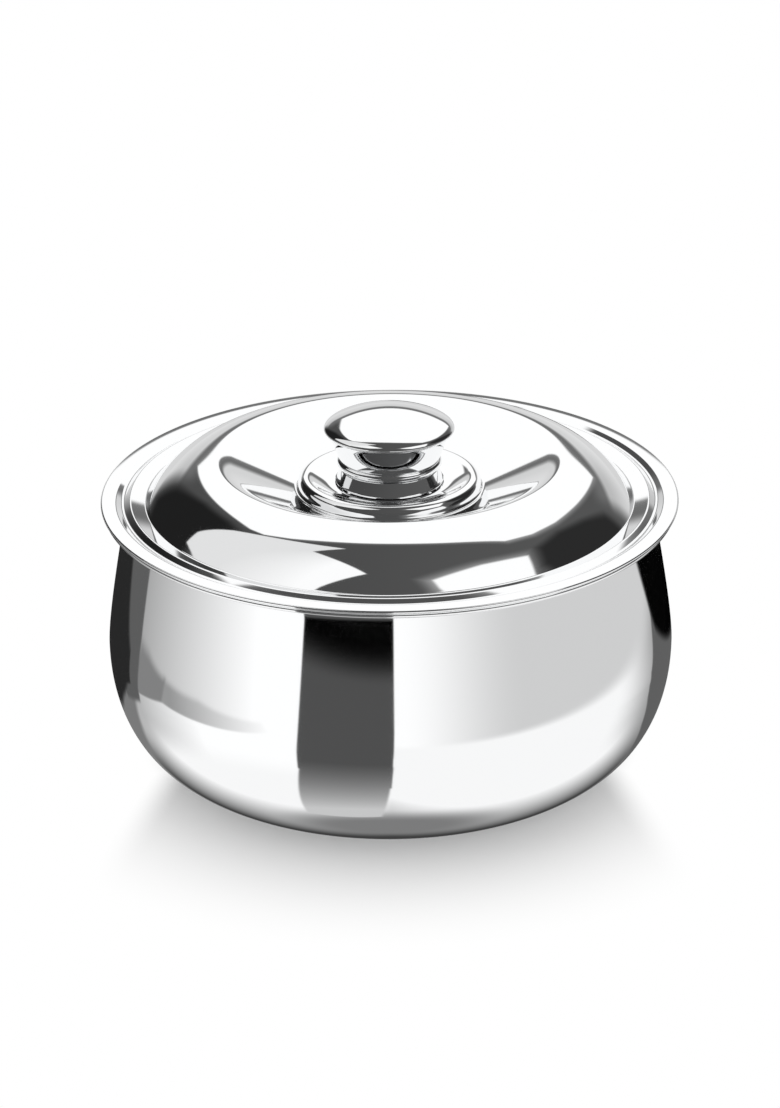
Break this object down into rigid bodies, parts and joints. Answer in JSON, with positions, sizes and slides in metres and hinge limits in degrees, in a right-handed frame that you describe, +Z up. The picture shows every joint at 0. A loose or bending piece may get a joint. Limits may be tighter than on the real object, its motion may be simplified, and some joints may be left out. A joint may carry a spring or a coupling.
{
  "type": "insulated casserole",
  "caption": "Round belly-shaped insulated casserole in polished stainless steel, with a loose domed lid whose sunk centre carries a capped pedestal knob.",
  "frame": {"origin": "centre of the ring that the pot stands on", "axes": "+Z up along the axis that every turned piece shares; -Y towards the viewer of the picture"},
  "size_m": [0.24, 0.24, 0.15],
  "materials": {
    "polished_steel": "polished",
    "zinc_plated_steel": "satin",
    "insulating_foam": "matte",
    "plug_plastic": "satin"
  },
  "bodies": {
    "pot": {"outer_casing": "polished_steel", "inner_bowl": "polished_steel", "body_foam": "insulating_foam", "base_plate": "polished_steel", "base_fill_plug": "plug_plastic"},
    "lid": {"lid_cover": "polished_steel", "lid_liner": "polished_steel", "lid_foam": "insulating_foam", "lid_fill_plug": "plug_plastic", "knob_base": "polished_steel", "knob_cup": "polished_steel", "knob_cap": "polished_steel", "knob_bolt": "zinc_plated_steel", "plain_washer": "zinc_plated_steel", "spring_washer": "zinc_plated_steel", "knob_nut": "zinc_plated_steel"}
  },
  "joints": [
    {"name": "lid_lift", "type": "slide", "parent": "pot", "child": "lid", "axis": [0, 0, 1], "range_m": [0, 0.15]}
  ]
}
